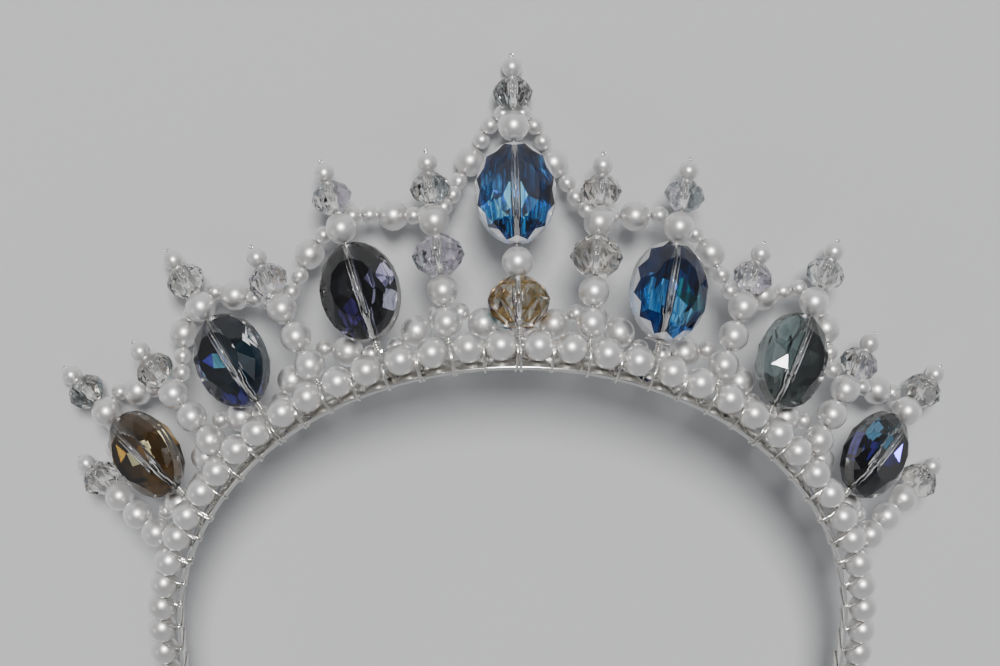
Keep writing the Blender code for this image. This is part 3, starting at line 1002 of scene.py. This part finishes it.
def coat_finish(name, place, mirror, clearness, spread, colours):
    """A coat on the back of a stone, seen through it, in one tone for each facet.

    The tones run from the first colour to the last, with fine streaks along the stone, and the
    lighter a tone is, the less of it is mirror, so light tones show their colour under any light
    as a painted glint.
    """
    material, tree = new_finish(name)
    inverse = place.inverted()
    centred = add_node(tree, "ShaderNodeMapping", {
        "Vector": object_place(tree),
        "Location": inverse.to_translation(),
        "Rotation": inverse.to_euler(),
    })
    stretched = {"Vector": centred.outputs["Vector"], "Scale": STREAK_STEPS}
    streaks = add_node(tree, "ShaderNodeMapping", stretched).outputs["Vector"]
    noise = noise_on(tree, streaks, 1.0, 2.0)
    facet = add_node(tree, "ShaderNodeAttribute", {}, attribute_name="coat_tone").outputs["Fac"]
    streaked = calculate(tree, "MULTIPLY_ADD", noise, spread, facet)
    last = len(colours) - 1
    tone = colour_ramp(
        tree,
        calculate(tree, "SUBTRACT", streaked, spread / 2.0),
        [(index / last, colour) for index, colour in enumerate(colours)],
    )
    lightness = add_node(tree, "ShaderNodeRGBToBW", {"Color": tone}).outputs["Val"]
    return shade(material, {
        "Base Color": tone,
        # Painted glow: the lighter the tone, the less of it is mirror, so its colour shows under
        # any light
        "Metallic": calculate(tree, "MULTIPLY_ADD", lightness, -PAINTED_GLOW_SHARE, mirror),
        "Roughness": 0.05,
        "IOR": 1.56,
        "Specular IOR Level": 0.2,
        "Transmission Weight": clearness,
    })


# Operators


class HEADBAND_OT_band(Operator):
    """Make the smooth metal band"""

    bl_idname = "headband.band"
    bl_label = "Band"

    def execute(self, context):
        settings = context.scene.headband.band
        depth = (ROW_PEARL / 2.0 + CLEARANCE) * MM + settings.thickness / 2.0
        bpy.ops.object.select_all(action="DESELECT")
        bpy.ops.mesh.primitive_plane_add(
            size=1.0,
            location=(0.0, -depth, 0.0),
            rotation=(0.0, math.radians(90.0), 0.0),
        )
        band = context.object
        bpy.ops.object.transform_apply(location=True, rotation=True, scale=True)
        bpy.ops.object.mode_set(mode="EDIT")
        bpy.ops.mesh.select_all(action="SELECT")
        bpy.ops.transform.resize(
            value=(1.0, settings.thickness, settings.width),
            center_override=(0.0, -depth, 0.0),
        )
        self.bend()
        self.round_end(band.data, settings)
        bpy.ops.object.mode_set(mode="OBJECT")
        mirror = band.modifiers.new("other half", "MIRROR")
        mirror.use_clip = True
        mirror.merge_threshold = TOUCHING
        rounding = band.modifiers.new("rounded edges", "BEVEL")
        rounding.width = settings.rounding
        rounding.segments = 2
        rounding.limit_method = "ANGLE"
        rounding.angle_limit = BAND_BEND
        apply_modifiers(band)
        bpy.ops.object.shade_smooth_by_angle(angle=BAND_BEND)
        metal_finish("band_silver", settings.colour, roughness=0.16, grain=400.0)
        settle("band_strip", [band], "band_silver", ("band",))
        return {"FINISHED"}

    def bend(self):
        """Draw the strip out along each arc of the arch."""
        heading = 0.0
        across = 0.0
        height = 0.0
        for length, radius in ARCH:
            outward = Vector((math.sin(heading), math.cos(heading), 0.0))
            bpy.ops.mesh.spin(
                steps=max(8, round(length / ARCH_STEP)),
                angle=length / radius,
                center=(Vector((across, height, 0.0)) - outward * radius) * MM,
                axis=(0.0, 0.0, 1.0),
            )
            further, lower, heading = arc_step(heading, length, radius)
            across += further
            height -= lower

    def round_end(self, mesh, settings):
        """Open the strip where its halves meet and round the corners of its end."""
        bpy.ops.mesh.select_all(action="SELECT")
        bpy.ops.mesh.remove_doubles(threshold=TOUCHING)
        bpy.ops.mesh.normals_make_consistent(inside=False)
        select_parts(mesh, "FACE", lambda face: abs(face.center.x) < TOUCHING)
        bpy.ops.mesh.delete(type="ONLY_FACE")
        lowest = min(corner.co.y for corner in mesh.vertices)

        def at_corner(edge):
            first, second = (mesh.vertices[index].co for index in edge.vertices)
            at_end = max(first.y, second.y) < lowest + settings.thickness
            level = abs(first.z - second.z) < TOUCHING
            through = abs((first - second).length - settings.thickness) < TOUCHING
            return at_end and level and through

        select_parts(mesh, "EDGE", at_corner)
        bpy.ops.mesh.bevel(offset=settings.width * END_ROUNDING, segments=6)


class HEADBAND_OT_row(Operator):
    """Make the row of pearls"""

    bl_idname = "headband.row"
    bl_label = "Pearl row"

    def execute(self, context):
        settings = context.scene.headband.pearls
        pearl_finish(settings)
        models = model_pearls(settings)
        for side_name, side in SIDES:
            places = [(arch_at(side * distance)[0], ROW_PEARL) for distance in row_distances()]
            beads = thread_pearls(models, places)
            settle(f"row_pearls_{side_name}", beads, "pearl_coat", (f"pearl_row_{side_name}",))
        remove_models(*models.values())
        return {"FINISHED"}


class HEADBAND_OT_binding(Operator):
    """Bind the row of pearls to the band with thin wire"""

    bl_idname = "headband.binding"
    bl_label = "Binding wire"

    def execute(self, context):
        settings = context.scene.headband
        metal_finish("wire_silver", settings.wires.colour, roughness=0.14, grain=900.0)
        chance = random.Random(7)
        distances = row_distances()
        gaps = [(before + after) / 2.0 for before, after in zip(distances, distances[1:])]
        gaps.append(distances[-1] + ROW_PEARL / 2.0 + LAST_TURNS)
        for side_name, side in SIDES:
            core = [0.0] + distances + [distances[-1] + CORE_END]
            core = [arch_at(side * distance)[0] for distance in core]
            loops = [draw_wire(core, settings.wires.string)]
            if side > 0:
                loops += self.bind(settings, chance, side, 0.0, MIDDLE_TURNS)
            for gap in gaps:
                turns = chance.choice(BINDING_TURNS)
                loops += self.bind(settings, chance, side, gap, turns)
            settle(f"binding_wire_{side_name}", loops, "wire_silver", ())
        return {"FINISHED"}

    def bind(self, settings, chance, side, gap, turns):
        """Turns of wire round the row and the band, in the gap between two pearls."""
        radius = settings.wires.binding / MM
        reach = settings.band.width / MM / 2.0 + radius
        outer = -(ROW_PEARL / 2.0 + CLEARANCE) + radius
        inner = -(ROW_PEARL / 2.0 + CLEARANCE + settings.band.thickness / MM) - radius
        levels = (outer, (outer + inner) / 2.0, inner)
        front_half = list(BINDING_BENDS)
        front_half += [(level, reach * share) for level, share in zip(levels, BINDING_EDGE)]
        back_half = [(height, -front) for height, front in reversed(front_half)]
        loops = []
        for turn in range(turns):
            shift = (turn - (turns - 1) / 2.0) * radius * BINDING_STEP
            slant = chance.uniform(-BINDING_SLANT, BINDING_SLANT)
            places = []
            for height, front in ((BINDING_TOP, 0.0), *front_half, (inner, 0.0), *back_half):
                wander = slant * front / reach + chance.uniform(-BINDING_WANDER, BINDING_WANDER)
                held = PINCHED_SHARE if height >= outer else 1.0
                centre, _run, outward = arch_at(side * (gap + shift * held + wander))
                places.append(centre + outward * height + Vector((0.0, 0.0, front)))
            loops.append(draw_wire(places, settings.wires.binding, 1, True))
        return loops


class HEADBAND_OT_spikes(Operator):
    """Make the pearls and the wire of each spike"""

    bl_idname = "headband.spikes"
    bl_label = "Spikes"

    def execute(self, context):
        settings = context.scene.headband
        models = model_pearls(settings.pearls)
        for label, spike in ALL_SPIKES.items():
            beads = []
            for kind, height, size in spike.beads:
                if kind in ("pearl", "tip"):
                    beads.append(copy_at(models[size], spike.frame(height)))
            settle(f"spike_pearls_{label}", beads, "pearl_coat", (f"stem_{label}",))
            wires = self.wires(spike, settings.wires.spike)
            settle(f"spike_wire_{label}", wires, "wire_silver", ())
        remove_models(*models.values())
        return {"FINISHED"}

    def wires(self, spike, radius):
        """The spike's wire, the coil at its base and the turned end on its tip."""
        wires = [draw_wire([spike.point(0.0), spike.point(spike.top)], radius)]
        _kind, height, size = spike.beads[0]
        first = height - size / 2.0
        turns = FEW_TURNS if first < LOW_BEAD else MANY_TURNS
        low = first - COIL_GAP - turns * COIL_ROOM
        coil = []
        for step in range(turns * COIL_CORNERS + 1):
            turned = step / COIL_CORNERS
            back = COIL_RADIUS * math.sin(math.tau * turned)
            across = COIL_RADIUS * math.cos(math.tau * turned)
            coil.append(spike.point(low + COIL_RISE * turned, back, across))
        wires.append(draw_wire(coil, radius * COIL_WIRE, 1))
        if spike.label in CROSS_WIRES:
            cross = []
            for step, across in enumerate(CROSS_WIRES[spike.label]):
                lift = CROSS_LIFT if step % 2 else 0.0
                cross.append(spike.point(first - CROSS_DROP + lift, -CROSS_FRONT - lift, across))
            wires.append(draw_wire(cross, radius * COIL_WIRE, 1))
        rise, depth, width = TURNED_END
        ring = []
        for step in range(TURNED_CORNERS):
            angle = math.tau * step / TURNED_CORNERS
            height = spike.top + WIRE_END / 2.0 + rise * math.sin(angle)
            ring.append(spike.point(height, depth * math.cos(angle), width * math.cos(angle)))
        wires.append(draw_wire(ring, TURNED_WIRE * MM, 2, True))
        return wires


class HEADBAND_OT_ovals(Operator):
    """Cut the seven oval crystals"""

    bl_idname = "headband.ovals"
    bl_label = "Oval crystals"

    def execute(self, context):
        settings = context.scene.headband.stones
        smoky = (0.93, 0.93, 0.94)
        clear = glass_finish("clear_crystal", CLEAR_GLASS, 140.0, smoky, settings.clear, 0.35)
        ground = ((0.82, 0.82, 0.82), (0.98, 0.98, 0.98))
        wall = glass_finish("drilled_wall", DRILLED_GLASS, 900.0, *ground)
        shares = sorted({share for _slot, _toothed, share in OVALS.values()})
        painted_glints = {}
        for number, share in enumerate(shares):
            painted_glints[share] = painted_glint_finish(f"bevel_crystal_{number}", share)
        length, width, depth = OVAL
        model = cut_stone("oval_model", OVAL_RINGS, width / 2.0, length / 2.0, depth / 2.0)
        model.data.materials.append(clear)
        turn = (math.radians(90.0), 0.0, 0.0)
        drill_stone(model, settings.oval_hole, length, turn, wall)
        lay = Matrix.Rotation(math.radians(90.0), 4, "X")
        for label, (slot, toothed, share) in OVALS.items():
            spike = ALL_SPIKES[label]
            place = spike.frame(spike.height_of("oval"))
            stone = copy_at(model, place @ lay)
            mirror, clearness, spread, tone, colours = OVAL_COATS[label]
            name = f"coat_{label}"
            coat = coat_finish(name, REST @ place, mirror, clearness, spread, colours)
            stone.data.materials.append(coat)
            stone.data.materials.append(painted_glints[share])
            self.colour(stone, tone, TONE_AND_GLINT_PATCHES[label], toothed)
            settle(f"oval_{label}", [stone], None, (f"oval_crystal_{label}",))
        remove_models(model)
        return {"FINISHED"}

    def colour(self, stone, tone, patches, toothed):
        """Coat the back facets, one tone each, and make the rim facets bright with a painted glint.
        """
        length, width, _depth = OVAL
        half = Vector((width / 2.0 * MM, length / 2.0 * MM))
        coat = len(stone.data.materials) - 2
        corners = stone.data.vertices
        tones = []
        for face in stone.data.polygons:
            middle = Vector((face.center.x / half.x, face.center.y / half.y))
            tones.append(tone)
            # Patches give some facets another tone, in part a painted reflection where a facet
            # flashes or goes dark
            for angle, share, reach, other in patches:
                turn = math.radians(angle)
                place = Vector((math.cos(turn), math.sin(turn))) * share
                if (middle - place).length < reach:
                    tones[-1] = other
            if face.material_index != 0:
                continue
            around = [corners[index].co for index in face.vertices]
            shares = [math.hypot(place.x / half.x, place.y / half.y) for place in around]
            tooth = toothed and sum(share < TOOTH_SHARE for share in shares) == 1
            if face.normal.z < OVAL_FACING:
                face.material_index = coat
            # Rim facets and teeth take the painted glint: part-white glass that shows bright
            elif tooth or min(shares) > RIM_SHARE:
                face.material_index = coat + 1
        set_tones(stone, tones)


class HEADBAND_OT_rondelles(Operator):
    """Cut the round crystals under the tips and at the waists"""

    bl_idname = "headband.rondelles"
    bl_label = "Round crystals"

    def execute(self, context):
        settings = context.scene.headband.stones
        tones = ((0.88, 0.86, 0.82), (0.98, 0.98, 0.97))
        clear = glass_finish("tip_crystal", CLEAR_GLASS, 140.0, *tones, 0.35)
        wall = bpy.data.materials["drilled_wall"]
        models = {}
        for kind, (diameter, height) in RONDELLES.items():
            half = diameter / 2.0
            model = cut_stone(f"{kind}_model", RONDELLE_RINGS, half, half, height / 2.0)
            model.data.materials.append(clear)
            drill_stone(model, settings.rondelle_hole, height, (0.0, 0.0, 0.0), wall)
            mirror, clearness, colours = ROUND_COATS[kind]
            name = f"{kind}_coat"
            coat = coat_finish(name, REST, mirror, clearness, ROUND_SPREAD, colours)
            model.data.materials.append(coat)
            models[kind] = model
        chance = random.Random(5)
        for label, spike in ALL_SPIKES.items():
            for kind, height, _size in spike.beads:
                if kind not in models:
                    continue
                role = "tip" if kind == "small" else "waist"
                stone = copy_at(models[kind], spike.frame(height))
                self.colour(stone, kind, chance)
                node = f"{role}_crystal_{label}"
                settle(f"{role}_stone_{label}", [stone], None, (node,))
        remove_models(*models.values())
        return {"FINISHED"}

    def colour(self, stone, kind, chance):
        """Coat the large stone by place, and a few facets behind the others by chance."""
        coat = len(stone.data.materials) - 1
        tones = []
        for face in stone.data.polygons:
            tone = chance.random()
            if kind == "large":
                covered = face.normal.y > LARGE_FACING
                tone = self.large_tone(face)
            else:
                covered = face.normal.y > ROUND_FACING and chance.random() < COATED_SHARE
            if covered and face.material_index == 0 and abs(face.normal.z) < END_FACING:
                face.material_index = coat
            tones.append(tone)
        set_tones(stone, tones)

    def large_tone(self, face):
        """Gold, with teal at the lower left, lilac at the upper left and below, pale on top."""
        diameter, height = RONDELLES["large"]
        across = face.center.x / (diameter / 2.0 * MM)
        up = face.center.z / (height / 2.0 * MM)
        if across < -0.3:
            return 0.75 if up < 0.1 else 0.97
        if up > 0.3:
            return 0.02
        if up < -0.6:
            return 0.97 if across < 0.2 else 0.1
        return 0.3


class HEADBAND_OT_strings(Operator):
    """Hang the upper and the lower string of pearls"""

    bl_idname = "headband.strings"
    bl_label = "Pearl strings"

    def execute(self, context):
        settings = context.scene.headband
        models = model_pearls(settings.pearls)
        for level in ("upper", "lower"):
            for side_name, side in SIDES:
                beads = []
                route = []
                for places, stretch in string_spans(level, side_name, side):
                    beads += thread_pearls(models, places)
                    route += [stretch[0]] + [centre for centre, _size in places]
                route.append(stretch[-1])
                node = f"{level}_string_{side_name}"
                settle(f"{level}_pearls_{side_name}", beads, "pearl_coat", (node,))
                wire = draw_wire(route, settings.wires.string, 1)
                settle(f"{level}_wire_{side_name}", [wire], "wire_silver", ())
        remove_models(*models.values())
        return {"FINISHED"}


class HEADBAND_OT_stage(Operator):
    """Set the floor, the light and the camera"""

    bl_idname = "headband.stage"
    bl_label = "Stage"

    def execute(self, context):
        self.floor(context.scene.headband.stage)
        view = (
            Matrix.Rotation(CAMERA_ROLL, 4, "Z")
            @ Matrix.Rotation(CAMERA_YAW, 4, "Y")
            @ Matrix.Rotation(CAMERA_TILT, 4, "X")
        )
        seen = Matrix.Translation(Vector(CAMERA_SHIFT) * MM) @ view
        bpy.ops.object.camera_add()
        camera = context.object
        camera.name = "photo_camera"
        camera.data.lens = CAMERA_LENS
        camera.data.sensor_width = CAMERA_SENSOR
        camera.data.clip_start = 0.01
        camera.data.clip_end = 20.0
        camera.matrix_world = REST @ seen.inverted()
        context.scene.camera = camera
        self.surroundings(context, camera.matrix_world)
        self.lights(camera.matrix_world)
        return {"FINISHED"}

    def floor(self, settings):
        """A pale floor, just under the lowest wire end."""
        bpy.ops.object.select_all(action="DESELECT")
        bpy.ops.mesh.primitive_plane_add(
            size=settings.floor_size,
            location=(0.0, 0.0, -FLOOR_DROP * MM),
        )
        floor = bpy.context.object
        floor.name = "floor"
        material, _tree = new_finish("floor_paint")
        colour = (*settings.floor_colour, 1.0)
        floor.data.materials.append(shade(material, {"Base Color": colour, "Roughness": 0.8}))

    def surroundings(self, context, view):
        """A studio that is pale all round and dim behind the camera's place."""
        world = bpy.data.worlds.new("studio")
        world.use_nodes = True
        tree = world.node_tree
        backward = view.to_3x3() @ Vector((0.0, 0.0, 1.0))
        directions = {0: object_place(tree, "Generated"), 1: backward}
        nearness = add_node(tree, "ShaderNodeVectorMath", directions, operation="DOT_PRODUCT")
        tone = colour_ramp(tree, nearness.outputs["Value"], STUDIO_TONES)
        plug(tree, tree.nodes["Background"], {"Color": tone})
        context.scene.world = world

    def lights(self, view):
        """A distant key by the camera, cards by and above it and a warm lamp from the left."""
        key = self.light("SUN", "key", KEY_POWER, PLAIN_LIGHT, view.to_3x3() @ KEY_AIM)
        key.data.angle = KEY_ANGLE
        for name, place, size, power, colour in CARDS:
            where = view @ Vector(place)
            card = self.light("AREA", name, power, colour, CARD_TARGET - where)
            card.location = where
            card.data.size = size

    def light(self, kind, name, power, colour, aim):
        """A light that shines along a direction."""
        bpy.ops.object.light_add(type=kind)
        light = bpy.context.object
        light.name = name
        light.data.energy = power
        light.data.color = colour
        light.rotation_euler = aim.to_track_quat("-Z", "Y").to_euler()
        return light


class HEADBAND_PT_sidebar(Panel):
    """The headband's pieces"""

    bl_idname = "HEADBAND_PT_sidebar"
    bl_label = "Crystal headband"
    bl_space_type = "VIEW_3D"
    bl_region_type = "UI"
    bl_category = "Headband"

    def draw(self, context):
        for operator in OPERATORS:
            self.layout.operator(operator.bl_idname)


OPERATORS = (
    HEADBAND_OT_stage,
    HEADBAND_OT_band,
    HEADBAND_OT_row,
    HEADBAND_OT_binding,
    HEADBAND_OT_spikes,
    HEADBAND_OT_ovals,
    HEADBAND_OT_rondelles,
    HEADBAND_OT_strings,
)
SETTINGS = (
    BandSettings,
    PearlSettings,
    WireSettings,
    StoneSettings,
    StageSettings,
    HeadbandSettings,
)


def register():
    for item in SETTINGS + OPERATORS + (HEADBAND_PT_sidebar,):
        bpy.utils.register_class(item)
    bpy.types.Scene.headband = PointerProperty(type=HeadbandSettings)


def unregister():
    del bpy.types.Scene.headband
    for item in reversed(SETTINGS + OPERATORS + (HEADBAND_PT_sidebar,)):
        bpy.utils.unregister_class(item)


def main():
    """Make every piece."""
    register()
    bpy.ops.headband.stage()
    bpy.ops.headband.band()
    bpy.ops.headband.row()
    bpy.ops.headband.binding()
    bpy.ops.headband.spikes()
    bpy.ops.headband.ovals()
    bpy.ops.headband.rondelles()
    bpy.ops.headband.strings()


if __name__ == "__main__":
    main()
